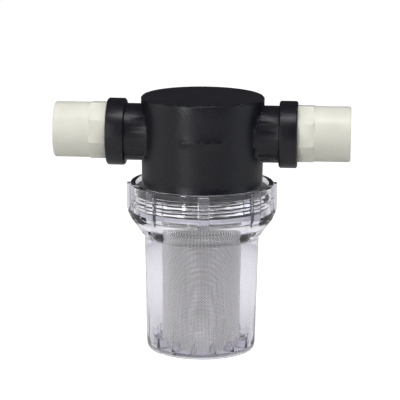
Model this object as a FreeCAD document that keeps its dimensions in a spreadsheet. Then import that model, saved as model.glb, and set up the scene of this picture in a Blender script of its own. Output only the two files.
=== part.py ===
"""Clear-bowl sea-water strainer with two glued-pipe adapters, as a parametric document.

Frame: millimetres, +Z up, origin under the middle of the bowl's foot, pipe run along X.
Water comes in at +X, falls outside the screen, passes through it and leaves at -X.
"""
import FreeCAD, Part
import Sketcher
import math
import os
import re

doc = FreeCAD.newDocument("strainer")

# ---------------------------------------------------------------- driving dimensions
SIZES = [
    # heights, from the foot of the bowl upwards
    ("foot_recess", 0.8, "hollow under the floor"),
    ("floor_height", 2.8, "inner floor"),
    ("tube_top", 70.4, "top of the bowl's long wall"),
    ("shoulder_rise", 1.8, "short step from the long wall to the cone"),
    ("cone_rise", 10.2, "height of the cone"),
    ("band_rise", 21.4, "cone to rim, the part that holds the thread"),
    ("rim_step", 2.8, "top face of the head's skirt below the rim"),
    ("pipe_rise", 33.0, "that face to the axis of the necks"),
    ("top_rise", 22.5, "that axis to the flat top"),
    # head moulding
    ("head_foot_radius", 36.75, "body where it leaves the bowl"),
    ("head_draft", 0.75, "how much wider it is at the top"),
    ("head_edge", 0.8, "bevel on the top edge"),
    ("head_wall", 4.6, "wall of the body and the top"),
    ("skirt_length", 12.3, "skirt that carries the thread"),
    ("skirt_flange", 1.4, "thickness of the flange over the thread"),
    ("neck_radius", 17.35, "port necks"),
    ("collar_radius", 20.4, "reinforcing collars round the ports"),
    ("collar_face", 57.8, "middle to the open face of a collar"),
    ("collar_width", 11.2, "width of a collar"),
    ("collar_edge", 0.9, "bevel on a collar's edges"),
    ("port_rise", 0.8, "axis of the pipe threads above the axis of the necks"),
    ("port_depth", 19.5, "depth of the pipe thread in the head"),
    ("waterway_radius", 10.2, "bore behind the pipe thread"),
    ("duct_wall", 3.4, "wall of the duct from the spigot to the outlet"),
    ("spigot_radius", 23.1, "spigot that carries the screen"),
    ("spigot_wall", 3.5, "its wall"),
    ("spigot_drop", 18.4, "its foot below the foot of the skirt"),
    # flow arrow on the front of the head
    ("arrow_rise", 0.1, "centre line of the arrow above the axis of the necks"),
    ("arrow_tip", 12.9, "middle of the head to the point"),
    ("arrow_head_length", 4.9, "length of the arrow's head"),
    ("arrow_tail", 14.2, "middle of the head to the end of the shaft"),
    ("arrow_head_half", 2.1, "half the width of the arrow's head"),
    ("arrow_shaft_half", 1.15, "half the width of its shaft"),
    ("arrow_relief", 0.8, "how far it stands off the body"),
    # coarse thread between head and bowl, right hand, single start
    ("thread_root", 38.4, "root radius on the head"),
    ("thread_depth", 1.6, "height of a ridge"),
    ("thread_pitch", 4.5, "travel of a full turn"),
    ("thread_lead", 2.1, "middle of a ridge's start above the foot of the skirt"),
    ("thread_rise", 6.5, "height that each ridge climbs"),
    ("ridge_root", 3.6, "ridge width at its root"),
    ("ridge_crest", 0.8, "ridge width at its crest"),
    ("thread_play", 0.3, "clearance between the two threads"),
    ("thread_bite", 0.2, "how far each ridge is rooted in its wall"),
    # clear bowl
    ("tube_top_radius", 35.0, "outside of the long wall at its top"),
    ("tube_draft", 1.8, "how much narrower it is at the foot"),
    ("bowl_wall", 2.3, "its thickness"),
    ("shoulder_width", 1.4, "step out to the foot of the cone"),
    ("lip_play", 0.6, "plain lip to the head's flange"),
    ("band_wall", 3.1, "wall of the lip"),
    ("ledge_width", 2.2, "ledge that the gasket lies on"),
    ("throat_step", 4.1, "how much narrower the bowl is under the ledge"),
    ("throat_drop", 6.1, "height of the slope from the ledge down to there"),
    ("foot_edge", 1.2, "bevel at the foot"),
    ("foot_ring_width", 5.2, "width of the foot ring"),
    ("floor_edge", 1.2, "bevel where floor and wall meet"),
    ("grip_count", 8, "grip ribs"),
    ("grip_depth", 2.7, "how far the ribs stand out"),
    ("grip_width", 7.0, "width of a rib"),
    ("grip_step", 0.7, "upper end of the ribs below the rim"),
    ("grip_ramp", 4.6, "height of the sloped lower end"),
    ("grip_round", 1.6, "round at the foot of the outer face"),
    ("bowl_clocking", 5.0, "turn of the tightened bowl on the head"),
    ("fin_count", 16, "fins that centre the screen"),
    ("fin_turn", -9.7, "place of the first fin round the bowl"),
    ("fin_width", 1.8, "fin thickness"),
    ("fin_height", 7.2, "fin height at the wall, above the floor"),
    ("fin_fall", 1.8, "how much lower it is at the screen"),
    ("fin_gap", 0.4, "fin to screen"),
    ("notch_width", 2.4, "drain notch in the foot ring"),
    ("notch_depth", 0.7, "its depth"),
    ("notch_turn", -49.0, "its place round the bowl"),
    # gasket
    ("gasket_thickness", 2.4, "flat rubber ring, squeezed"),
    ("gasket_play", 0.2, "its clearance from the walls beside it"),
    # screen
    ("screen_play", 0.1, "inside of the screen to the spigot"),
    ("screen_wall", 0.6, "thickness of the wire cloth"),
    ("screen_grip", 14.7, "length that sits on the spigot"),
    ("gap_columns", 16, "open columns round the cloth"),
    ("gap_rows", 6, "open rows up the cloth"),
    ("gap_foot", 8.2, "middle of the lowest row above the floor"),
    ("gap_pitch", 10.6, "row to row"),
    ("gap_width", 7.0, "opening, round the cloth"),
    ("gap_height", 8.4, "opening, up the cloth"),
    ("seam_width", 4.6, "lapped seam of the cloth"),
    ("seam_relief", 0.25, "how far the lap stands off"),
    ("seam_turn", -19.4, "place of the seam round the screen"),
    # pipe adapters
    ("octagon_length", 10.1, "length of the spanner part"),
    ("octagon_half_flats", 16.85, "half the width over its flats"),
    ("octagon_edge", 0.9, "bevel on its corners"),
    ("octagon_tilt", 6.0, "turn of the tightened adapters about the pipe"),
    ("hub_radius", 16.9, "outside of the socket"),
    ("hub_length", 22.0, "length of the socket"),
    ("hub_edge", 0.8, "bevel on the open end"),
    ("socket_radius", 13.4, "bore that takes the pipe"),
    ("socket_lead", 0.8, "lead-in at the mouth"),
    ("stub_radius", 13.4, "pipe thread at its large end"),
    ("stub_length", 18.0, "length of the pipe thread"),
    ("stub_fall", 0.03125, "radius lost per length, a standard pipe taper"),
    ("stub_bore", 10.0, "bore through the thread"),
    ("stub_play", 0.05, "pipe thread to its port"),
]
NAMES = {alias for alias, _, _ in SIZES}

# Heights and radii that follow from the driving dimensions.
WORKED_OUT = {
    "cone_foot": "tube_top + shoulder_rise",
    "cone_top": "cone_foot + cone_rise",
    "rim_height": "cone_top + band_rise",
    "skirt_top": "rim_height - rim_step",
    "skirt_foot": "skirt_top - skirt_length",
    "flange_foot": "skirt_top - skirt_flange",
    "ledge_height": "skirt_foot - gasket_thickness",
    "thread_start": "skirt_foot + thread_lead",
    "spigot_foot": "skirt_foot - spigot_drop",
    "screen_top": "spigot_foot + screen_grip",
    "pipe_height": "skirt_top + pipe_rise",
    "port_height": "pipe_height + port_rise",
    "head_height": "pipe_height + top_rise",
    "head_top_radius": "head_foot_radius + head_draft",
    "chamber_radius": "head_foot_radius - head_wall",
    "chamber_top": "head_height - head_wall",
    "thread_crest": "thread_root + thread_depth",
    "bowl_thread_root": "thread_crest + thread_play",
    "ridge_slope": "(ridge_root - ridge_crest)/thread_depth",
    "lip_radius": "thread_crest + lip_play",
    "band_radius": "lip_radius + band_wall",
    "ledge_inner": "thread_root - ledge_width",
    "tube_foot_radius": "tube_top_radius - tube_draft",
    "screen_inner": "spigot_radius + screen_play",
    "screen_radius": "screen_inner + screen_wall",
    "octagon_end": "collar_face + octagon_length",
    "octagon_corner": "octagon_half_flats/cos(22.5)",
    "adapter_end": "octagon_end + hub_length",
}

sheet = doc.addObject("Spreadsheet::Sheet", "sizes")
for row, (alias, number, note) in enumerate(SIZES, start=1):
    sheet.set(f"A{row}", note)
    sheet.set(f"B{row}", str(number))
    sheet.setAlias(f"B{row}", alias)
doc.recompute()


def linked(expression):
    """An expression of the names above, as FreeCAD reads it from the sheet."""
    def spelled_out(word):
        name = word.group(0)
        if name in WORKED_OUT:
            return "(" + linked(WORKED_OUT[name]) + ")"
        return "sizes." + name if name in NAMES else name

    return re.sub(r"[A-Za-z_]\w*", spelled_out, expression)


def size(expression):
    """The number that an expression of the sheet's names has now."""
    return float(sheet.evalExpression(linked(expression)))


def bind(target, prop, expression):
    """Ties one property to an expression of the sheet's names."""
    target.setExpression(prop, linked(expression))


# ---------------------------------------------------------------- sketching
def new_body(name):
    body = doc.addObject("PartDesign::Body", name)
    body.Label = name
    return body


def new_sketch(body, name, plane):
    """A sketch on one of the body's own origin planes."""
    sketch = body.newObject("Sketcher::SketchObject", name)
    base = next(f for f in body.Origin.OriginFeatures if f.Role == plane)
    sketch.AttachmentSupport = [(base, "")]
    sketch.MapMode = "FlatFace"
    return sketch


def place_point(sketch, geometry, end, x, y):
    """Fixes a point of the sketch at two expressions, measured from the sketch's origin."""
    for axis, other_axis, expression in (("DistanceX", -2, x), ("DistanceY", -1, y)):
        if expression == "0":
            sketch.addConstraint(Sketcher.Constraint("PointOnObject", geometry, end, other_axis))
            continue
        index = sketch.addConstraint(
            Sketcher.Constraint(axis, -1, 1, geometry, end, size(expression))
        )
        bind(sketch, f"Constraints[{index}]", expression)


def outline(sketch, corners):
    """A closed outline. Each corner is (x, y) or, where it is rounded, (x, y, radius)."""
    count = len(corners)
    points = [FreeCAD.Vector(size(c[0]), size(c[1]), 0) for c in corners]
    starts = list(points)
    ends = list(points)
    for i, corner in enumerate(corners):
        if len(corner) == 3:
            back = (points[i - 1] - points[i]).normalize()
            ahead = (points[(i + 1) % count] - points[i]).normalize()
            reach = size(corner[2]) / math.tan(back.getAngle(ahead) / 2)
            ends[i] = points[i] + back * reach
            starts[i] = points[i] + ahead * reach
    lines = [
        sketch.addGeometry(Part.LineSegment(starts[i], ends[(i + 1) % count]), False)
        for i in range(count)
    ]
    for i, corner in enumerate(corners):
        before, after = lines[i - 1], lines[i]
        if len(corner) == 2:
            sketch.addConstraint(Sketcher.Constraint("Coincident", before, 2, after, 1))
            place_point(sketch, after, 1, corner[0], corner[1])
            continue
        radius = size(corner[2])
        back = (ends[i] - points[i]).normalize()
        ahead = (starts[i] - points[i]).normalize()
        middle = (back + ahead).normalize()
        centre = points[i] + middle * (radius / math.sin(back.getAngle(ahead) / 2))
        turns_left = (back.cross(ahead)).z < 0
        first, last = (ends[i], starts[i]) if turns_left else (starts[i], ends[i])
        angles = [math.atan2((p - centre).y, (p - centre).x) for p in (first, last)]
        circle = Part.Circle(centre, FreeCAD.Vector(0, 0, 1), radius)
        arc = sketch.addGeometry(Part.ArcOfCircle(circle, angles[0], angles[1]), False)
        before_end, after_end = (1, 2) if turns_left else (2, 1)
        sketch.addConstraint(Sketcher.Constraint("Tangent", before, 2, arc, before_end))
        sketch.addConstraint(Sketcher.Constraint("Tangent", arc, after_end, after, 1))
        index = sketch.addConstraint(Sketcher.Constraint("Radius", arc, radius))
        bind(sketch, f"Constraints[{index}]", corner[2])
        point = sketch.addGeometry(Part.Point(points[i]), True)
        sketch.addConstraint(Sketcher.Constraint("PointOnObject", point, 1, before))
        sketch.addConstraint(Sketcher.Constraint("PointOnObject", point, 1, after))
        place_point(sketch, point, 1, corner[0], corner[1])


def circle(sketch, x, y, radius):
    """A circle at two expressions, its radius a third."""
    centre = FreeCAD.Vector(size(x), size(y), 0)
    ring = sketch.addGeometry(Part.Circle(centre, FreeCAD.Vector(0, 0, 1), size(radius)), False)
    place_point(sketch, ring, 3, x, y)
    index = sketch.addConstraint(Sketcher.Constraint("Radius", ring, size(radius)))
    bind(sketch, f"Constraints[{index}]", radius)


# ---------------------------------------------------------------- features
def turn_sketch(sketch, angle):
    """Turns a vertical sketch about its own vertical axis."""
    sketch.AttachmentOffset = FreeCAD.Placement(
        FreeCAD.Vector(), FreeCAD.Rotation(FreeCAD.Vector(0, 1, 0), size(angle))
    )
    bind(sketch, "AttachmentOffset.Rotation.Angle", angle)


def raise_sketch(sketch, height):
    """Moves a vertical sketch up its plane, so that its own axis lies at that height."""
    sketch.AttachmentOffset = FreeCAD.Placement(
        FreeCAD.Vector(0, size(height), 0), FreeCAD.Rotation()
    )
    bind(sketch, "AttachmentOffset.Base.y", height)


def turned(body, name, sketch, axis="V_Axis", cut=False):
    """A full revolution of the sketch about its own axis, added or cut."""
    kind = "PartDesign::Groove" if cut else "PartDesign::Revolution"
    feature = body.newObject(kind, name)
    feature.Profile = sketch
    feature.ReferenceAxis = (sketch, [axis])
    feature.Angle = 360
    doc.recompute()
    return feature


def padded(body, name, sketch, length, both_ways=False, reverse=False):
    feature = body.newObject("PartDesign::Pad", name)
    feature.Profile = sketch
    bind(feature, "Length", length)
    feature.Midplane = both_ways
    feature.Reversed = reverse
    doc.recompute()
    return feature


def pocketed(body, name, sketch, length, both_ways=False, reverse=False):
    """A pocket that has to take material away, which its volume shows."""
    before = body.Shape.Volume
    feature = body.newObject("PartDesign::Pocket", name)
    feature.Profile = sketch
    bind(feature, "Length", length)
    feature.Midplane = both_ways
    feature.Reversed = reverse
    doc.recompute()
    if not feature.Shape.Volume < before - 0.01:
        raise RuntimeError(f"{name} cuts nothing")
    return feature


def around(body, name, original, count):
    """Copies of a feature round the body's Z axis."""
    pattern = body.newObject("PartDesign::PolarPattern", name)
    pattern.Originals = [original]
    upright = next(f for f in body.Origin.OriginFeatures if f.Role == "Z_Axis")
    pattern.Axis = (upright, [""])
    pattern.Angle = 360
    bind(pattern, "Occurrences", count)
    body.Tip = pattern
    doc.recompute()


def threaded(body, name, sketch):
    """A right-hand helical ridge of the sketch's section about its vertical axis."""
    feature = body.newObject("PartDesign::AdditiveHelix", name)
    feature.Profile = sketch
    feature.ReferenceAxis = (sketch, ["V_Axis"])
    feature.Mode = 0
    bind(feature, "Pitch", "thread_pitch")
    bind(feature, "Height", "thread_rise")
    feature.LeftHanded = False
    feature.Reversed = False
    doc.recompute()
    return feature


# ---------------------------------------------------------------- head
def add_arrow(body):
    """The flow arrow stands off the tapered wall by the same relief everywhere."""
    shape = new_sketch(body, "arrow_shape", "XZ_Plane")
    middle = "(pipe_height + arrow_rise)"
    neck = "-(arrow_tip - arrow_head_length)"
    outline(shape, [
        ("-arrow_tip", middle),
        (neck, middle + " - arrow_head_half"),
        (neck, middle + " - arrow_shaft_half"),
        ("arrow_tail", middle + " - arrow_shaft_half"),
        ("arrow_tail", middle + " + arrow_shaft_half"),
        (neck, middle + " + arrow_shaft_half"),
        (neck, middle + " + arrow_head_half"),
    ])
    padded(body, "arrow_block", shape, "head_top_radius + 4*arrow_relief")

    low = f"({middle} - 2*arrow_head_half)"
    high = f"({middle} + 2*arrow_head_half)"
    face = "head_foot_radius + arrow_relief + head_draft*({} - skirt_top)/(head_height - skirt_top)"
    trim = new_sketch(body, "arrow_trim", "XZ_Plane")
    outline(trim, [
        (face.format(low), low),
        ("2*head_top_radius", low),
        ("2*head_top_radius", high),
        (face.format(high), high),
    ])
    turned(body, "arrow_face", trim, cut=True)


def add_necks(body):
    """Both necks with their collars, as one run about the pipe axis."""
    necks = new_sketch(body, "neck_section", "XZ_Plane")
    raise_sketch(necks, "pipe_height")
    inner = "collar_face - collar_width"
    right = [
        (inner, "neck_radius"),
        (inner, "collar_radius - collar_edge"),
        (inner + " + collar_edge", "collar_radius"),
        ("collar_face - collar_edge", "collar_radius"),
        ("collar_face", "collar_radius - collar_edge"),
        ("collar_face", "0"),
    ]
    left = [(f"-({x})", y) for x, y in reversed(right)]
    outline(necks, left + right)
    turned(body, "necks", necks, axis="H_Axis")


def add_port(body, name, side, inner_end):
    """A tapered pipe thread in a collar, and the waterway behind it."""
    port = new_sketch(body, name + "_section", "XZ_Plane")
    raise_sketch(port, "port_height")
    run = [
        (inner_end, "0"),
        (inner_end, "waterway_radius"),
        ("collar_face - port_depth", "waterway_radius"),
        ("collar_face - port_depth", "stub_radius + stub_play - stub_fall*port_depth"),
        ("collar_face", "stub_radius + stub_play"),
        ("collar_face", "0"),
    ]
    outline(port, [(f"{side}({x})", y) for x, y in run])
    turned(body, name, port, axis="H_Axis", cut=True)


def make_head():
    """The black moulding: body, threaded skirt, two ports and the spigot inside."""
    body = new_body("head")
    shell = new_sketch(body, "shell_section", "XZ_Plane")
    outline(shell, [
        ("0", "skirt_foot"),
        ("thread_root", "skirt_foot"),
        ("thread_root", "flange_foot"),
        ("thread_crest", "flange_foot"),
        ("thread_crest", "skirt_top"),
        ("head_foot_radius", "skirt_top"),
        ("head_top_radius", "head_height - head_edge"),
        ("head_top_radius - head_edge", "head_height"),
        ("0", "head_height"),
    ])
    turned(body, "shell", shell)
    add_arrow(body)
    add_necks(body)

    chamber = new_sketch(body, "chamber_section", "XZ_Plane")
    outline(chamber, [
        ("spigot_radius", "skirt_foot"),
        ("chamber_radius", "skirt_foot"),
        ("chamber_radius", "chamber_top"),
        ("spigot_radius", "chamber_top"),
    ])
    turned(body, "chamber", chamber, cut=True)

    spigot = new_sketch(body, "spigot_section", "XZ_Plane")
    outline(spigot, [
        ("0", "spigot_foot"),
        ("spigot_radius", "spigot_foot"),
        ("spigot_radius", "skirt_top"),
        ("0", "skirt_top"),
    ])
    turned(body, "spigot", spigot)

    duct = new_sketch(body, "duct_section", "YZ_Plane")
    circle(duct, "0", "port_height", "waterway_radius + duct_wall")
    padded(body, "duct", duct, "chamber_radius + head_wall/2", reverse=True)

    bore = new_sketch(body, "spigot_bore_section", "XZ_Plane")
    outline(bore, [
        ("0", "spigot_foot"),
        ("spigot_radius - spigot_wall", "spigot_foot"),
        ("spigot_radius - spigot_wall", "chamber_top"),
        ("0", "chamber_top"),
    ])
    turned(body, "spigot_bore", bore, cut=True)
    add_port(body, "inlet_port", "", "(spigot_radius + chamber_radius)/2")
    add_port(body, "outlet_port", "-", "spigot_radius/2")

    ridge = new_sketch(body, "thread_section", "XZ_Plane")
    outline(ridge, [
        ("thread_root - thread_bite", "thread_start - ridge_root/2"),
        ("thread_crest", "thread_start - ridge_crest/2"),
        ("thread_crest", "thread_start + ridge_crest/2"),
        ("thread_root - thread_bite", "thread_start + ridge_root/2"),
    ])
    threaded(body, "head_thread", ridge)
    return body


# ---------------------------------------------------------------- bowl
def add_bowl_thread(body):
    """The bowl's ridge fills the gap between the head's turns, less the play.

    It starts half a turn round from the head's, at the same height, which puts it in the gap.
    """
    ridge = new_sketch(body, "bowl_thread_section", "XZ_Plane")
    middle = "(thread_start + thread_pitch*bowl_clocking/360)"
    crest_half = "(thread_pitch - ridge_root - (2 - ridge_slope)*thread_play)/2"
    root_half = "(thread_pitch - ridge_crest - (2 - ridge_slope)*thread_play)/2"
    crest = "-(thread_root + thread_play)"
    root = "-(bowl_thread_root + thread_bite)"
    outline(ridge, [
        (crest, f"{middle} - {crest_half}"),
        (crest, f"{middle} + {crest_half}"),
        (root, f"{middle} + {root_half}"),
        (root, f"{middle} - {root_half}"),
    ])
    threaded(body, "bowl_thread", ridge)


def make_bowl():
    """The clear moulding, clocked as the thread has tightened it."""
    body = new_body("bowl")
    wall = new_sketch(body, "wall_section", "XZ_Plane")
    ring_inner = "(tube_foot_radius - foot_ring_width)"
    floor_wall = "(tube_foot_radius - bowl_wall)"
    outline(wall, [
        ("0", "foot_recess"),
        (ring_inner + " - foot_recess", "foot_recess"),
        (ring_inner, "0"),
        ("tube_foot_radius - foot_edge", "0"),
        ("tube_foot_radius", "foot_edge"),
        ("tube_top_radius", "tube_top"),
        ("tube_top_radius + shoulder_width", "cone_foot"),
        ("band_radius", "cone_top"),
        ("band_radius", "rim_height"),
        ("lip_radius", "rim_height"),
        ("lip_radius", "flange_foot"),
        ("bowl_thread_root", "flange_foot - thread_play"),
        ("bowl_thread_root", "ledge_height"),
        ("ledge_inner", "ledge_height"),
        ("ledge_inner - throat_step", "ledge_height - throat_drop"),
        ("tube_top_radius - bowl_wall", "cone_foot"),
        (floor_wall, "floor_height + floor_edge"),
        (floor_wall + " - floor_edge", "floor_height"),
        ("0", "floor_height"),
    ])
    turned(body, "wall", wall)
    add_bowl_thread(body)

    grip = new_sketch(body, "grip_section", "XZ_Plane")
    outline(grip, [
        ("band_radius - band_wall/2", "cone_top"),
        ("band_radius", "cone_top"),
        ("band_radius + grip_depth", "cone_top + grip_ramp", "grip_round"),
        ("band_radius + grip_depth", "rim_height - grip_step"),
        ("band_radius - band_wall/2", "rim_height - grip_step"),
    ])
    rib = padded(body, "grip", grip, "grip_width", both_ways=True)
    around(body, "grips", rib, "grip_count")

    fin = new_sketch(body, "fin_section", "XZ_Plane")
    turn_sketch(fin, "fin_turn")
    outline(fin, [
        ("screen_radius + fin_gap", "floor_height - foot_recess/2"),
        ("tube_foot_radius - bowl_wall/2", "floor_height - foot_recess/2"),
        ("tube_foot_radius - bowl_wall/2", "floor_height + fin_height"),
        ("screen_radius + fin_gap", "floor_height + fin_height - fin_fall"),
    ])
    plate = padded(body, "fin", fin, "fin_width", both_ways=True)
    around(body, "fins", plate, "fin_count")

    notch = new_sketch(body, "notch_section", "XZ_Plane")
    turn_sketch(notch, "notch_turn")
    outline(notch, [
        ("-notch_width/2", "-notch_depth"),
        ("notch_width/2", "-notch_depth"),
        ("notch_width/2", "notch_depth"),
        ("-notch_width/2", "notch_depth"),
    ])
    pocketed(body, "drain_notch", notch, "2*tube_foot_radius", reverse=True)
    body.Placement.Rotation = FreeCAD.Rotation(FreeCAD.Vector(0, 0, 1), size("bowl_clocking"))
    bind(body, "Placement.Rotation.Angle", "bowl_clocking")
    return body


# ---------------------------------------------------------------- gasket and screen
def make_gasket():
    """A flat rubber ring, squeezed between the skirt and the bowl's ledge."""
    body = new_body("gasket")
    ring = new_sketch(body, "ring_section", "XZ_Plane")
    outline(ring, [
        ("ledge_inner + gasket_play", "ledge_height"),
        ("thread_root - gasket_play", "ledge_height"),
        ("thread_root - gasket_play", "skirt_foot"),
        ("ledge_inner + gasket_play", "skirt_foot"),
    ])
    turned(body, "ring", ring)
    return body


def make_screen():
    """A rolled tube of wire cloth: coarse openings stand for its mesh, with a lapped seam."""
    body = new_body("screen")
    tube = new_sketch(body, "tube_section", "XZ_Plane")
    outline(tube, [
        ("screen_inner", "floor_height"),
        ("screen_radius", "floor_height"),
        ("screen_radius", "screen_top"),
        ("screen_inner", "screen_top"),
    ])
    turned(body, "tube", tube)

    lap = new_sketch(body, "lap_section", "XZ_Plane")
    turn_sketch(lap, "seam_turn")
    outline(lap, [
        ("screen_radius - screen_wall/2", "floor_height"),
        ("screen_radius + seam_relief", "floor_height"),
        ("screen_radius + seam_relief", "screen_top"),
        ("screen_radius - screen_wall/2", "screen_top"),
    ])
    seam = turned(body, "seam", lap)
    seam.Midplane = True
    bind(seam, "Angle", "seam_width/screen_radius*180/pi")

    column = new_sketch(body, "gap_column", "XZ_Plane")
    turn_sketch(column, "seam_turn + 90 - 180/gap_columns")
    for row in range(int(size("gap_rows"))):
        middle = f"floor_height + gap_foot + {row}*gap_pitch"
        outline(column, [
            ("-gap_width/2", f"{middle} - gap_height/2"),
            ("gap_width/2", f"{middle} - gap_height/2"),
            ("gap_width/2", f"{middle} + gap_height/2"),
            ("-gap_width/2", f"{middle} + gap_height/2"),
        ])
    opening = pocketed(body, "gaps", column, "2*screen_radius", reverse=True)
    around(body, "gap_columns_round", opening, "gap_columns")
    return body


# ---------------------------------------------------------------- pipe adapters
def make_adapter(name, tilt):
    """A socket adapter along +X: pipe thread, spanner octagon and socket."""
    body = new_body(name)
    barrel = new_sketch(body, "barrel_section", "XZ_Plane")
    outline(barrel, [
        ("collar_face - stub_length", "0"),
        ("collar_face - stub_length", "stub_radius - stub_fall*stub_length"),
        ("collar_face", "stub_radius"),
        ("octagon_end - octagon_edge", "stub_radius"),
        ("octagon_end - octagon_edge", "hub_radius"),
        ("adapter_end - hub_edge", "hub_radius"),
        ("adapter_end", "hub_radius - hub_edge"),
        ("adapter_end", "0"),
    ])
    turned(body, "barrel", barrel, axis="H_Axis")

    flats = new_sketch(body, "octagon_outline", "YZ_Plane")
    flats.AttachmentOffset.Base = FreeCAD.Vector(0, 0, size("collar_face"))
    bind(flats, "AttachmentOffset.Base.z", "collar_face")
    angles = [f"{22.5 + 45*corner} + {tilt}" for corner in range(8)]
    outline(flats, [(f"octagon_corner*cos({a})", f"octagon_corner*sin({a})") for a in angles])
    padded(body, "octagon", flats, "octagon_length")

    bevel = new_sketch(body, "octagon_bevel_section", "XZ_Plane")
    outline(bevel, [
        ("octagon_end", "octagon_corner - octagon_edge"),
        ("octagon_end", "octagon_corner + octagon_edge"),
        ("octagon_end - 2*octagon_edge", "octagon_corner + octagon_edge"),
    ])
    turned(body, "octagon_bevel", bevel, axis="H_Axis", cut=True)

    bore = new_sketch(body, "bore_section", "XZ_Plane")
    outline(bore, [
        ("collar_face - stub_length", "0"),
        ("collar_face - stub_length", "stub_bore"),
        ("octagon_end", "stub_bore"),
        ("octagon_end", "socket_radius"),
        ("adapter_end - socket_lead", "socket_radius"),
        ("adapter_end", "socket_radius + socket_lead"),
        ("adapter_end", "0"),
    ])
    turned(body, "bore", bore, axis="H_Axis", cut=True)
    body.Placement.Base = FreeCAD.Vector(0, 0, size("port_height"))
    bind(body, "Placement.Base.z", "port_height")
    return body


# ---------------------------------------------------------------- the whole strainer
head = make_head()
bowl = make_bowl()
gasket = make_gasket()
screen = make_screen()
inlet_adapter = make_adapter("inlet_adapter", "-octagon_tilt")
outlet_adapter = make_adapter("outlet_adapter", "octagon_tilt")
outlet_adapter.Placement.Rotation = FreeCAD.Rotation(FreeCAD.Vector(0, 0, 1), 180)
doc.recompute()

sub_parts = [head, bowl, gasket, screen, inlet_adapter, outlet_adapter]
for item in doc.Objects:
    if "Invalid" in item.State or "Error" in item.State:
        raise RuntimeError(f"{item.Label} did not recompute: {item.State}")
for sub_part in sub_parts:
    shape = sub_part.Shape
    if shape.isNull() or not shape.isValid() or len(shape.Solids) != 1:
        raise RuntimeError(f"{sub_part.Label} is not one valid solid")

os.makedirs("parts", exist_ok=True)
for sub_part in sub_parts:
    sub_part.Shape.exportStep(f"parts/{sub_part.Label}.step")
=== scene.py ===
import math
import bpy
import bmesh
from mathutils import Matrix, Vector


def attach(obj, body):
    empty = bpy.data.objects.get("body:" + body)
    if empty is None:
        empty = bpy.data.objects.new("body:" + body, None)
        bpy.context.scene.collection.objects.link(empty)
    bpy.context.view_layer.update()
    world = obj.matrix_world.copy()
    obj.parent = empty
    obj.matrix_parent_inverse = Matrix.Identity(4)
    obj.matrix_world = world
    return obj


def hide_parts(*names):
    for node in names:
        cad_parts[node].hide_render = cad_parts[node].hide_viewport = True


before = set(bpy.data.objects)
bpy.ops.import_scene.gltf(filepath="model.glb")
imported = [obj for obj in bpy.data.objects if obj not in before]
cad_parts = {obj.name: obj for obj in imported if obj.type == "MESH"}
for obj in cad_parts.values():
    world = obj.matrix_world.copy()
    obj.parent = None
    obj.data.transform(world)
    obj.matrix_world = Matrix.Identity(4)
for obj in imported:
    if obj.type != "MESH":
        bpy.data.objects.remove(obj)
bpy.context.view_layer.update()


# ------------------------------------------------------------------ moulded head
# The head is one injection moulding in black plastic. Its tool leaves a fine matt grain, handling
# leaves it shinier in patches, and its edges carry a thin painted highlight.
MM = 0.001
SKIRT_TOP = 101.2 * MM     # below it the moulding is dull: the thread, the spigot and the inside


def new_group(name, inputs, outputs):
    """A shader node group with named sockets, and its input and output nodes."""
    group = bpy.data.node_groups.new(name, "ShaderNodeTree")
    for label, kind in inputs:
        group.interface.new_socket(name=label, in_out="INPUT", socket_type="NodeSocket" + kind)
    for label, kind in outputs:
        group.interface.new_socket(name=label, in_out="OUTPUT", socket_type="NodeSocket" + kind)
    return group, group.nodes.new("NodeGroupInput"), group.nodes.new("NodeGroupOutput")


def make_mottle():
    """A noise pattern on object coordinates, put out as a colour, a value and a height."""
    group, given, result = new_group(
        "mottle",
        (("Scale", "Float"), ("Detail", "Float"), ("Stretch", "Vector"), ("Dark", "Color"),
         ("Light", "Color"), ("Low", "Float"), ("High", "Float")),
        (("Color", "Color"), ("Value", "Float"), ("Height", "Float")),
    )
    nodes, links = group.nodes, group.links
    place = nodes.new("ShaderNodeTexCoord")
    mapping = nodes.new("ShaderNodeMapping")
    pattern = nodes.new("ShaderNodeTexNoise")
    spread = nodes.new("ShaderNodeMapRange")
    spread.inputs["From Min"].default_value = 0.3
    spread.inputs["From Max"].default_value = 0.7
    level = nodes.new("ShaderNodeMapRange")
    tint = nodes.new("ShaderNodeMixRGB")
    links.new(place.outputs["Object"], mapping.inputs["Vector"])
    links.new(given.outputs["Stretch"], mapping.inputs["Scale"])
    links.new(mapping.outputs["Vector"], pattern.inputs["Vector"])
    links.new(given.outputs["Scale"], pattern.inputs["Scale"])
    links.new(given.outputs["Detail"], pattern.inputs["Detail"])
    links.new(pattern.outputs["Fac"], spread.inputs["Value"])
    links.new(spread.outputs["Result"], level.inputs["Value"])
    links.new(given.outputs["Low"], level.inputs["To Min"])
    links.new(given.outputs["High"], level.inputs["To Max"])
    links.new(spread.outputs["Result"], tint.inputs["Fac"])
    links.new(given.outputs["Dark"], tint.inputs["Color1"])
    links.new(given.outputs["Light"], tint.inputs["Color2"])
    links.new(tint.outputs["Color"], result.inputs["Color"])
    links.new(level.outputs["Result"], result.inputs["Value"])
    links.new(pattern.outputs["Fac"], result.inputs["Height"])
    return group


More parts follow.
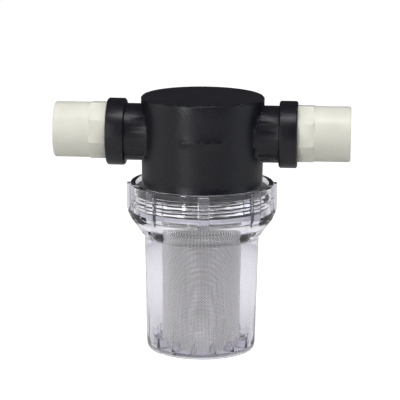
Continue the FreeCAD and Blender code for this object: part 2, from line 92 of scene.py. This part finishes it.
def make_painted_edge_highlight():
    """Lightens a colour where the surface turns sharply: a painted highlight along edges, standing in for
    the light that rounded edges catch.
    """
    group, given, result = new_group(
        "painted_edge_highlight",
        (("Color", "Color"), ("Edge", "Color"), ("Width", "Float"), ("Strength", "Float")),
        (("Color", "Color"),),
    )
    level, sharp = 0.995, 0.90      # cosine between the face's own normal and the rounded one
    nodes, links = group.nodes, group.links
    rounded = nodes.new("ShaderNodeBevel")
    rounded.samples = 6
    surface = nodes.new("ShaderNodeNewGeometry")
    agree = nodes.new("ShaderNodeVectorMath")
    agree.operation = "DOT_PRODUCT"
    turned = nodes.new("ShaderNodeMapRange")
    turned.inputs["From Min"].default_value = level
    turned.inputs["From Max"].default_value = sharp
    strength = nodes.new("ShaderNodeMath")
    strength.operation = "MULTIPLY"
    mix = nodes.new("ShaderNodeMixRGB")
    links.new(given.outputs["Width"], rounded.inputs["Radius"])
    links.new(rounded.outputs["Normal"], agree.inputs[0])
    links.new(surface.outputs["Normal"], agree.inputs[1])
    links.new(agree.outputs["Value"], turned.inputs["Value"])
    links.new(turned.outputs["Result"], strength.inputs[0])
    links.new(given.outputs["Strength"], strength.inputs[1])
    links.new(strength.outputs["Value"], mix.inputs["Fac"])
    links.new(given.outputs["Color"], mix.inputs["Color1"])
    links.new(given.outputs["Edge"], mix.inputs["Color2"])
    links.new(mix.outputs["Color"], result.inputs["Color"])
    return group


MOTTLE = make_mottle()
PAINTED_EDGE_HIGHLIGHT = make_painted_edge_highlight()


def new_material(name, **values):
    """A material whose Principled shader has the uniform numbers given, spaces as underscores."""
    material = bpy.data.materials.new(name)
    material.use_nodes = True
    shader = material.node_tree.nodes["Principled BSDF"]
    for label, value in values.items():
        shader.inputs[label.replace("_", " ")].default_value = value
    return material, shader


def mottle(material, scale, detail=4.0, stretch=(1, 1, 1),
           dark=(0, 0, 0), light=(1, 1, 1), low=0.0, high=1.0):
    """Places the mottle group in a material, its scale in cycles per metre."""
    node = material.node_tree.nodes.new("ShaderNodeGroup")
    node.node_tree = MOTTLE
    for label, value in (("Scale", scale), ("Detail", detail), ("Stretch", stretch), ("Dark", (*dark, 1)),
                         ("Light", (*light, 1)), ("Low", low), ("High", high)):
        node.inputs[label].default_value = value
    return node.outputs


def painted_edge_highlight(material, colour, edge, width, strength):
    """Places the painted edge highlight group after a colour, its width in mm."""
    node = material.node_tree.nodes.new("ShaderNodeGroup")
    node.node_tree = PAINTED_EDGE_HIGHLIGHT
    node.inputs["Edge"].default_value = (*edge, 1)
    node.inputs["Width"].default_value = width * MM
    node.inputs["Strength"].default_value = strength
    material.node_tree.links.new(colour, node.inputs["Color"])
    return node.outputs["Color"]


def finish_surface(material, shader, colour=None, roughness=None, bumps=()):
    """Feeds a shader. Each bump is (height socket, distance in mm, strength), stacked in order."""
    nodes, links = material.node_tree.nodes, material.node_tree.links
    if colour:
        links.new(colour, shader.inputs["Base Color"])
    if roughness:
        links.new(roughness, shader.inputs["Roughness"])
    normal = None
    for height, distance, strength in bumps:
        bump = nodes.new("ShaderNodeBump")
        bump.inputs["Distance"].default_value = distance * MM
        bump.inputs["Strength"].default_value = strength
        links.new(height, bump.inputs["Height"])
        if normal:
            links.new(normal, bump.inputs["Normal"])
        normal = bump.outputs["Normal"]
    if normal:
        links.new(normal, shader.inputs["Normal"])


def finished(name, mesh, sharp_angle=35):
    """Turns a bmesh into an object, smooth up to that angle between faces."""
    data = bpy.data.meshes.new(name)
    mesh.to_mesh(data)
    mesh.free()
    data.shade_smooth()
    data.set_sharp_from_angle(angle=math.radians(sharp_angle))
    piece = bpy.data.objects.new(name, data)
    bpy.context.scene.collection.objects.link(piece)
    return piece


def merged_copy(name, node, sharp_angle):
    """The CAD node's own faces as a new piece, joined up and smooth between its edges."""
    mesh = bmesh.new()
    mesh.from_mesh(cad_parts[node].data)
    bmesh.ops.remove_doubles(mesh, verts=mesh.verts, dist=1e-6)
    piece = finished(name, mesh, sharp_angle)
    piece.modifiers.new("even_normals", "WEIGHTED_NORMAL").keep_sharp = True
    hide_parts(node)
    return piece


def black_plastic(name, shine):
    """Black moulding with a fine grain, shinier patches and a thin painted highlight on its edges."""
    material, shader = new_material(name, Specular_IOR_Level=shine)
    patches = mottle(material, scale=45, detail=3, low=0.30, high=0.40)
    grain = mottle(material, scale=1400, detail=3, dark=(0.002, 0.002, 0.004), light=(0.011, 0.011, 0.017))
    # Painted highlight: a thin light grey line painted along the edges.
    colour = painted_edge_highlight(material, grain["Color"], edge=(0.34, 0.34, 0.36), width=0.5, strength=0.9)
    finish_surface(material, shader, colour, patches["Value"],
                   [(patches["Height"], 0.3, 0.2), (grain["Height"], 0.08, 0.9)])
    return material


head = merged_copy("moulded_head", "head", 40)
head.data.materials.append(black_plastic("black_plastic", shine=0.42))
head.data.materials.append(black_plastic("dull_black_plastic", shine=0.06))
for face in head.data.polygons:
    face.material_index = int(face.center.z < SKIRT_TOP)
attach(head, "strainer_head")


# ------------------------------------------------------------------ pipe adapters
# A pipe adapter is screwed into each port and takes a glued pipe at its other end. Both are moulded
# in ivory plastic, a little glossy, with an octagon for the wrench and faint flow marks.
def ivory_plastic():
    """Ivory moulding with faint clouds and a painted highlight on its edges."""
    material, shader = new_material("ivory_plastic")
    clouds = mottle(material, scale=60, dark=(0.66, 0.65, 0.565), light=(0.73, 0.72, 0.64),
                    low=0.30, high=0.42)
    grain = mottle(material, scale=1200, detail=2)
    # Painted highlight: the edges are painted towards near white.
    colour = painted_edge_highlight(material, clouds["Color"], edge=(0.98, 0.97, 0.92), width=0.5, strength=1.0)
    finish_surface(material, shader, colour, clouds["Value"],
                   [(clouds["Height"], 0.3, 0.1), (grain["Height"], 0.03, 0.4)])
    return material


ivory = ivory_plastic()
for side in ("inlet", "outlet"):
    adapter = merged_copy(side + "_socket_adapter", side + "_adapter", 25)
    adapter.data.materials.append(ivory)
    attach(adapter, "strainer_head")


# ------------------------------------------------------------------ clear bowl
# The bowl is moulded in clear plastic. Its rim holds a coarse inner thread and eight dull grip ribs,
# and its foot has a raised floor, sixteen fins that centre the screen, and a notch in the foot ring.
# Half a section is spun round into one closed shell, whose points are then moved into those shapes.
STEP = 0.75                     # degrees between the shell's sections
CLOCKING = 5.0                  # degrees that the tightened bowl is turned
FLOOR, SLOPE_FOOT = 2.8, 4.2    # mm, inner floor and the foot of the long wall
RIM_RADIUS = 43.7               # outside of the rim between the ribs
THREAD_LOW, THREAD_HIGH, THREAD_RADIUS, THREAD_ROWS = 86.5, 99.3, 40.3, 56
RIB_COUNT, RIB_HALF_TURN = 8, 4.5
# How far a grip rib's face stands out at each height of the rim's outside.
RIB_OUT = {103.1: 45.4, 103.0: 45.75, 102.7: 45.9, 99.0: 45.9, 94.0: 45.9, 89.5: 45.9, 88.0: 45.85,
           87.0: 45.6, 85.6: 45.1, 84.2: 44.5, 82.8: 43.9}
FIN_COUNT, FIN_TURN, FIN_HEIGHT = 16, -9.75, 7.2
FIN_INNER, FIN_OUTER, FIN_MIDDLE = 24.25, 30.92, 27.0
FIN_HALF, FIN_FLANK = 1.5, 1.1  # half a fin's width at its foot, and how much its top is narrower
NOTCH_TURN, NOTCH_HALF_TURN, NOTCH_TOP = -138.75, 2.3, 0.7


def bowl_section():
    """(radius, height) in mm: from the inner floor up, over the rim, down outside and under."""
    points = [(radius, FLOOR) for radius in (0, 12, 22, 24.2, FIN_INNER, 25.5, 27.3, 29.7)]
    points += [(30.6, 3.15), (FIN_OUTER, SLOPE_FOOT)]
    points += [(31.0 + 1.7 * (height - 10) / 62.2, height) for height in (10.4, 30, 50, 70)]
    points += [(32.70, 72.2), (32.1, 76.2), (31.5, 79.7), (31.6, 80.3), (33.9, 83.3), (36.2, 86.3)]
    points += [(38.0, 86.3), (40.0, 86.3)]
    points += [(THREAD_RADIUS, THREAD_LOW + (THREAD_HIGH - THREAD_LOW) * row / THREAD_ROWS)
               for row in range(THREAD_ROWS + 1)]
    points += [(40.6, 99.6), (40.6, 101.5), (40.6, 103.3), (40.75, 103.65), (41.1, 103.8)]
    points += [(43.0, 103.8), (43.5, 103.65), (RIM_RADIUS, 103.3), (RIM_RADIUS, 103.15)]
    points += [(RIM_RADIUS, height) for height in RIB_OUT]
    points += [(43.66, 82.5), (43.3, 81.8), (40.0, 77.3), (36.9, 72.9), (36.1, 71.9), (35.2, 70.8)]
    points += [(34.98, 70.2), (34.4, 47), (33.8, 24), (33.27, 3.4), (33.1, 2.0), (32.7, 0.9), (32.1, 0.25)]
    points += [(31.4, 0), (28.6, 0), (28.2, 0.1), (27.6, 0.35), (27.0, 0.5), (15, 0.5), (0, 0.5)]
    return points


def share(part, whole):
    """Part of a whole, kept between nothing and all."""
    return min(max(part / whole, 0.0), 1.0)


def turn_from_nearest(angle, count):
    """Degrees to the nearest of so many places spread evenly round, the first at angle nought."""
    spacing = 360 / count
    return abs((angle + spacing / 2) % spacing - spacing / 2)


def thread_height(angle, height):
    """How far the bowl's ridge stands in at an angle round the bowl, in degrees, and a height."""
    pitch, climb, depth, run_in = 4.5, 6.5, 1.6, 10.0
    start_angle, start_height = 180.0, 90.8625
    root_half, flank = 1.8125, 1.4
    span = 360 * climb / pitch
    best = 0.0
    for turn in range(2):
        along = (angle - start_angle) % 360 + 360 * turn
        if along > span:
            continue
        away = abs(height - start_height - pitch * along / 360)
        from_end = min(along, span - along)
        best = max(best, depth * min(from_end / run_in, 1.0) * share(root_half - away, flank))
    return best


def shaped(angle, radius, height):
    """Where a point of the plain shell goes, at an angle in degrees, for thread, ribs, fins and notch."""
    if abs(radius - THREAD_RADIUS) < 0.01:
        return radius - thread_height(angle, height), height
    if abs(radius - RIM_RADIUS) < 0.01 and min(RIB_OUT) - 0.01 < height < max(RIB_OUT) + 0.01:
        rib = share(RIB_HALF_TURN - turn_from_nearest(angle, RIB_COUNT), STEP)
        out = RIB_OUT[min(RIB_OUT, key=lambda row: abs(row - height))]
        return radius + rib * (out - radius), height
    if FIN_INNER - 0.01 < radius < FIN_OUTER + 0.01 and FLOOR - 0.01 < height < SLOPE_FOOT + 0.01:
        from_fin = turn_from_nearest(angle - FIN_TURN, FIN_COUNT) * math.radians(FIN_MIDDLE)
        top = FLOOR + FIN_HEIGHT * share(FIN_HALF - from_fin, FIN_FLANK)
        top -= 0.9 if radius < FIN_INNER + 0.01 else (30.6 - radius) * 0.2
        return radius, max(height, top)
    if height < NOTCH_TOP and turn_from_nearest(angle - NOTCH_TURN, 1) < NOTCH_HALF_TURN:
        return radius, NOTCH_TOP
    return radius, height


def bowl_mesh():
    """The section spun round, shaped, sorted into clear, satin and frosted faces, and turned."""
    mesh = bmesh.new()
    points = [mesh.verts.new((radius * MM, 0, height * MM)) for radius, height in bowl_section()]
    edges = [mesh.edges.new(pair) for pair in zip(points, points[1:])]
    bmesh.ops.spin(mesh, geom=points + edges, cent=(0, 0, 0), axis=(0, 0, 1), dvec=(0, 0, 0),
                   angle=math.tau, steps=round(360 / STEP), use_merge=True)
    bmesh.ops.remove_doubles(mesh, verts=mesh.verts, dist=1e-7)
    for point in mesh.verts:
        angle = math.degrees(math.atan2(point.co.y, point.co.x))
        plain = point.co.to_2d().length
        radius, height = shaped(angle, plain / MM, point.co.z / MM)
        if plain > 0:
            point.co.x *= radius * MM / plain
            point.co.y *= radius * MM / plain
        point.co.z = height * MM
    bmesh.ops.recalc_face_normals(mesh, faces=mesh.faces)
    for face in mesh.faces:
        middle = face.calc_center_median()
        out = middle.to_2d().length / MM
        on_rib = out > 43.8 and middle.z > 82 * MM
        under_floor = out < 32 and middle.z < 0.8 * MM
        face.material_index = 1 if on_rib else 2 if under_floor else 0
    clocked = Matrix.Rotation(math.radians(CLOCKING), 3, "Z")
    bmesh.ops.rotate(mesh, cent=(0, 0, 0), matrix=clocked, verts=mesh.verts)
    return mesh


def clear_plastic():
    """Clear plastic with a trace of haze and long flow marks."""
    material, shader = new_material("clear_plastic", Base_Color=(0.90, 0.893, 0.935, 1),
                                    Transmission_Weight=1.0, IOR=1.50)
    haze = mottle(material, scale=90, low=0.0, high=0.03)
    flow = mottle(material, scale=120, detail=3, stretch=(1, 1, 0.15))
    finish_surface(material, shader, roughness=haze["Value"],
                   bumps=[(flow["Height"], 0.25, 0.05), (haze["Height"], 0.3, 0.03)])
    return material


def worn_plastic(name, colour, clearness, low, high):
    """The clear plastic where it is dulled: the faces of the grip ribs, and the underside."""
    material, shader = new_material(name, Base_Color=(*colour, 1), Transmission_Weight=clearness, IOR=1.50)
    grain = mottle(material, scale=900, detail=3, low=low, high=high)
    finish_surface(material, shader, roughness=grain["Value"], bumps=[(grain["Height"], 0.08, 0.3)])
    return material


bowl = finished("clear_bowl", bowl_mesh(), 38)
bowl.data.materials.append(clear_plastic())
bowl.data.materials.append(
    worn_plastic("satin_plastic", (0.82, 0.815, 0.89), clearness=0.88, low=0.08, high=0.18))
bowl.data.materials.append(
    worn_plastic("frosted_plastic", (0.74, 0.73, 0.83), clearness=0.75, low=0.12, high=0.30))
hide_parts("bowl")
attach(bowl, "bowl")


# ------------------------------------------------------------------ gasket
# A flat ring cut from pale silicone lies on the bowl's ledge and is squeezed by the head's skirt.
# It is seen only as a band through the bowl's threads, matt and a little dusty.
def gasket_rubber():
    """Pale, matt silicone under a little dust."""
    material, shader = new_material("gasket_rubber")
    dust = mottle(material, scale=400, dark=(0.60, 0.59, 0.64), light=(0.70, 0.69, 0.75),
                  low=0.55, high=0.75)
    finish_surface(material, shader, dust["Color"], dust["Value"], [(dust["Height"], 0.05, 0.5)])
    return material


gasket = merged_copy("rubber_gasket", "gasket", 50)
gasket.data.materials.append(gasket_rubber())
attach(gasket, "bowl")


# ------------------------------------------------------------------ wire screen
# The screen is a tube rolled from plain-weave stainless wire cloth, about thirty wires to the
# inch. Upright wires and hoops pass over and under each other. The uprights are painted near
# white as a painted highlight and the hoops darker as painted shade, standing in for the light
# that the two ways of wire catch, so that the weave shows.
WIRE = 0.213 * MM                # half the wire's thickness
SCREEN_RADIUS = 23.5 * MM
SCREEN_FOOT, SCREEN_TOP = 2.9 * MM, 85.0 * MM
PITCH = 0.83 * MM                # wire to wire, round the screen and up it
UPRIGHTS = 2 * round(math.pi * SCREEN_RADIUS / PITCH)
ROWS = int((SCREEN_TOP - SCREEN_FOOT - 2 * WIRE) / PITCH)


def steel_wire(name, metal, dark, light):
    """Steel wire that is a little tarnished in places."""
    material, shader = new_material(name, Metallic=metal)
    tarnish = mottle(material, scale=150, dark=dark, light=light, low=0.28, high=0.45)
    finish_surface(material, shader, tarnish["Color"], tarnish["Value"])
    return material


def upright_wires():
    """One wire extruded up through its crossings, its neighbour, and the pair spun round."""
    mesh = bmesh.new()
    turn = math.tau / UPRIGHTS
    for phase in (1, -1):
        ring = bmesh.ops.create_circle(mesh, cap_ends=True, segments=4, radius=WIRE)["verts"]
        face = ring[0].link_faces[0]
        foot = Vector((SCREEN_RADIUS + phase * WIRE, 0, SCREEN_FOOT))
        bmesh.ops.translate(mesh, verts=ring, vec=foot)
        wire = list(ring)
        for row in range(1, ROWS + 1):
            sway = phase * (2 if row % 2 == 0 else -2) * WIRE
            made = bmesh.ops.extrude_discrete_faces(mesh, faces=[face])["faces"]
            face = made[0]
            bmesh.ops.translate(mesh, verts=face.verts, vec=(sway, 0, PITCH))
            wire += list(face.verts)
        if phase == -1:
            aside = Matrix.Rotation(turn, 3, "Z")
            bmesh.ops.rotate(mesh, cent=(0, 0, 0), matrix=aside, verts=wire)
    # Each extrusion takes its first face along, so the open feet are closed here.
    bmesh.ops.holes_fill(mesh, edges=mesh.edges[:], sides=4)
    everything = mesh.verts[:] + mesh.edges[:] + mesh.faces[:]
    bmesh.ops.spin(mesh, geom=everything, cent=(0, 0, 0), axis=(0, 0, 1), dvec=(0, 0, 0),
                   angle=math.tau * (1 - 2 / UPRIGHTS), steps=UPRIGHTS // 2 - 1, use_duplicate=True)
    return mesh


def hoop_wires():
    """One hoop spun from a small ring, swayed in and out, and copied up the screen."""
    mesh = bmesh.new()
    turn = math.tau / UPRIGHTS
    ring = bmesh.ops.create_circle(mesh, cap_ends=False, segments=4, radius=WIRE)["verts"]
    upended = Matrix.Rotation(math.radians(90), 3, "X")
    bmesh.ops.rotate(mesh, cent=(0, 0, 0), matrix=upended, verts=ring)
    bmesh.ops.translate(mesh, verts=ring, vec=(SCREEN_RADIUS, 0, SCREEN_FOOT + WIRE))
    bmesh.ops.spin(mesh, geom=ring + mesh.edges[:], cent=(0, 0, 0), axis=(0, 0, 1), dvec=(0, 0, 0),
                   angle=math.tau, steps=UPRIGHTS, use_merge=True)
    for point in mesh.verts:
        crossing = round(math.atan2(point.co.y, point.co.x) / turn)
        out = point.co.to_2d().normalized().to_3d() * WIRE
        point.co += out if crossing % 2 else -out
    hoop = mesh.verts[:] + mesh.edges[:] + mesh.faces[:]
    for row in range(1, ROWS + 1):
        made = bmesh.ops.duplicate(mesh, geom=hoop)["geom"]
        copy = [part for part in made if isinstance(part, bmesh.types.BMVert)]
        bmesh.ops.translate(mesh, verts=copy, vec=(0, 0, row * PITCH))
        aside = Matrix.Rotation(turn * (row % 2), 3, "Z")
        bmesh.ops.rotate(mesh, cent=(0, 0, 0), matrix=aside, verts=copy)
    return mesh


# Painted light: the uprights get a near-white lit copy of the steel, the hoops a darker shaded copy.
wire_painted_highlight = steel_wire("wire_painted_highlight", metal=0.35, dark=(0.97, 0.96, 0.92), light=(1.0, 0.99, 0.95))
wire_painted_shade = steel_wire("wire_painted_shade", metal=1.0, dark=(0.36, 0.355, 0.34), light=(0.45, 0.445, 0.43))
for name, mesh, steel in (
    ("screen_uprights", upright_wires(), wire_painted_highlight),
    ("screen_hoops", hoop_wires(), wire_painted_shade),
):
    bmesh.ops.recalc_face_normals(mesh, faces=mesh.faces)
    wires = finished(name, mesh, 80)
    wires.data.materials.append(steel)
    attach(wires, "screen")
    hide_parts("screen")


# ------------------------------------------------------------------ floor and backdrop
# A pale floor under the strainer and a pale room round it. Both are white where the camera sees
# them, the floor less so through clear plastic, and both are dim in mirror images, so that the
# black head stays dark and the clear bowl keeps its edges.
def seen_level(nodes, links, lighting, mirrored, through, seen):
    """A level for the light that falls, one in mirror images, one through plastic, one seen."""
    path = nodes.new("ShaderNodeLightPath")
    level = None
    for kind, value in (("Is Glossy Ray", mirrored), ("Is Transmission Ray", through),
                        ("Is Camera Ray", seen)):
        mix = nodes.new("ShaderNodeMix")
        mix.inputs["A"].default_value = lighting
        mix.inputs["B"].default_value = value
        links.new(path.outputs[kind], mix.inputs["Factor"])
        if level:
            links.new(level, mix.inputs["A"])
        level = mix.outputs["Result"]
    return level


def pale_floor():
    """Matt grey that glows just enough to be seen as white."""
    material, shader = new_material("pale_floor", Base_Color=(0.60, 0.60, 0.60, 1), Roughness=0.6,
                                    Emission_Color=(1, 1, 1, 1))
    nodes, links = material.node_tree.nodes, material.node_tree.links
    glow = seen_level(nodes, links, lighting=0.0, mirrored=0.10, through=0.54, seen=0.89)
    links.new(glow, shader.inputs["Emission Strength"])
    return material


mesh = bmesh.new()
bmesh.ops.create_grid(mesh, x_segments=1, y_segments=1, size=3.0)
floor = finished("floor", mesh)
floor.data.materials.append(pale_floor())
floor.location.z = -0.2 * MM     # just under the bowl's foot ring


def room():
    """White where it is seen, and dim for the light that falls on the strainer."""
    world = bpy.data.worlds.new("room")
    world.use_nodes = True
    nodes, links = world.node_tree.nodes, world.node_tree.links
    light = nodes["Background"]
    light.inputs["Color"].default_value = (0.97, 0.98, 1.0, 1)
    level = seen_level(nodes, links, lighting=0.15, mirrored=0.06, through=1.0, seen=1.04)
    links.new(level, light.inputs["Strength"])
    bpy.context.scene.world = world


room()


# ------------------------------------------------------------------ lamps and camera
# Soft lamps above, in front and at both sides, cooler on the right, a small one whose sheen lies on
# the head, and a narrow one in front on the left whose reflection runs down it. The camera looks
# down a little from the front.
def soft_lamp(name, place, size, power, colour=(1, 1, 1), shines=True):
    """A rectangular lamp aimed at the strainer; one that doesn't shine leaves no reflection."""
    light = bpy.data.lights.new(name, "AREA")
    light.shape = "RECTANGLE"
    light.size, light.size_y = size
    light.energy = power
    light.color = colour
    lamp = bpy.data.objects.new(name, light)
    lamp.location = place
    lamp.visible_glossy = shines
    aim = Vector((0, 0, 0.09)) - Vector(place)
    lamp.rotation_euler = aim.to_track_quat("-Z", "Y").to_euler()
    bpy.context.scene.collection.objects.link(lamp)


soft_lamp("overhead", (0, -0.25, 1.1), (1.4, 1.0), 6.4, shines=False)
soft_lamp("sheen", (0.05, -0.35, 1.0), (0.5, 0.2), 2.8)
soft_lamp("key", (-0.55, -1.03, 0.40), (0.10, 0.8), 3.6)
soft_lamp("front", (0.10, -1.5, 0.50), (1.0, 0.5), 3.7, shines=False)
soft_lamp("left_side", (-1.1, -0.25, 0.25), (0.7, 0.9), 1.6)
soft_lamp("right_side", (1.1, -0.25, 0.25), (0.7, 0.9), 1.8, (0.82, 0.89, 1.0))

camera = bpy.data.objects.new("camera", bpy.data.cameras.new("camera"))
camera.data.lens = 192.5
camera.data.sensor_width = 36
camera.location = (0.0818, -1.2753, 0.3727)
aim = Vector((-0.001245, 0, 0.09217)) - camera.location
camera.rotation_euler = aim.to_track_quat("-Z", "Y").to_euler()
camera.rotation_euler.rotate_axis("Z", math.radians(0.439))
bpy.context.scene.collection.objects.link(camera)
bpy.context.scene.camera = camera
bpy.context.scene.view_settings.view_transform = "Standard"
